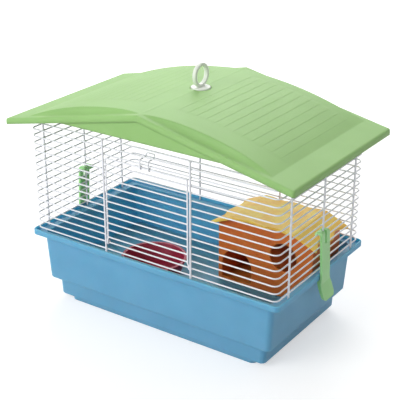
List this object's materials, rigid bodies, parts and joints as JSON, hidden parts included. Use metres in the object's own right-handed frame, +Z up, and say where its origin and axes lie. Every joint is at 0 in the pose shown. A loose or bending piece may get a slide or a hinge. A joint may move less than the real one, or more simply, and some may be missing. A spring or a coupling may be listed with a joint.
{
  "type": "hamster cage",
  "caption": "Small pet cage: stepped plastic tray, white wire walls with a drop-down door, gabled green roof with a carry ring, side clips, a toy house and a food dish.",
  "frame": {"origin": "centre of the footprint on the ground", "axes": "+X along the cage's length to the right, -Y to the front with the door, +Z up"},
  "size_m": [0.401, 0.2314, 0.3168],
  "materials": {
    "tray_blue": "satin moulded",
    "wire_white": "white coating",
    "roof_green": "satin moulded",
    "clip_green": "satin moulded",
    "ring_white": "satin moulded",
    "house_orange": "satin moulded",
    "house_yellow": "satin moulded",
    "dish_red": "glossy moulded"
  },
  "bodies": {
    "cage": {"base_tray": "tray_blue", "wire_back": "wire_white", "wire_left": "wire_white", "wire_right": "wire_white", "wire_front_left": "wire_white", "wire_front_right": "wire_white", "wire_sill": "wire_white", "wire_header": "wire_white", "corner_fl": "wire_white", "corner_fr": "wire_white", "corner_bl": "wire_white", "corner_br": "wire_white", "roof_shell": "roof_green"},
    "door": {"door_grille": "wire_white"},
    "latch": {"door_latch": "wire_white"},
    "left_clip": {"left_clip": "clip_green"},
    "right_clip": {"right_clip": "clip_green"},
    "ring": {"carry_ring": "ring_white", "ring_nut": "ring_white"},
    "house": {"house_walls": "house_orange"},
    "house_lid": {"house_roof": "house_yellow"},
    "dish": {"food_dish": "dish_red"}
  },
  "joints": [
    {"name": "door_hinge", "type": "hinge", "parent": "cage", "child": "door", "pos_m": [0, -0.0985, 0.1099], "axis": [1, 0, 0], "range_deg": [0, 120], "deforming": ["door_latch"]},
    {"name": "latch_spring", "type": "hinge", "parent": "door", "child": "latch", "pos_m": [0, -0.10045, 0.2192], "axis": [-1, 0, 0], "range_deg": [0, 20], "stiffness_Nm_per_rad": 0.05},
    {"name": "left_clip_hinge", "type": "hinge", "parent": "cage", "child": "left_clip", "pos_m": [-0.175, 0, 0.1475], "axis": [0, 1, 0], "range_deg": [0, 90]},
    {"name": "right_clip_hinge", "type": "hinge", "parent": "cage", "child": "right_clip", "pos_m": [0.175, 0, 0.1475], "axis": [0, -1, 0], "range_deg": [0, 90]},
    {"name": "ring_swivel", "type": "hinge", "parent": "cage", "child": "ring", "pos_m": [0, 0.011, 0.2845], "axis": [0, 0, 1], "continuous": true},
    {"name": "house_lift", "type": "slide", "parent": "cage", "child": "house", "axis": [0, 0, 1], "range_m": [0, 0.04]},
    {"name": "house_lid_lift", "type": "slide", "parent": "house", "child": "house_lid", "axis": [0, 0, 1], "range_m": [0, 0.06]},
    {"name": "dish_lift", "type": "slide", "parent": "cage", "child": "dish", "axis": [0, 0, 1], "range_m": [0, 0.06]}
  ]
}
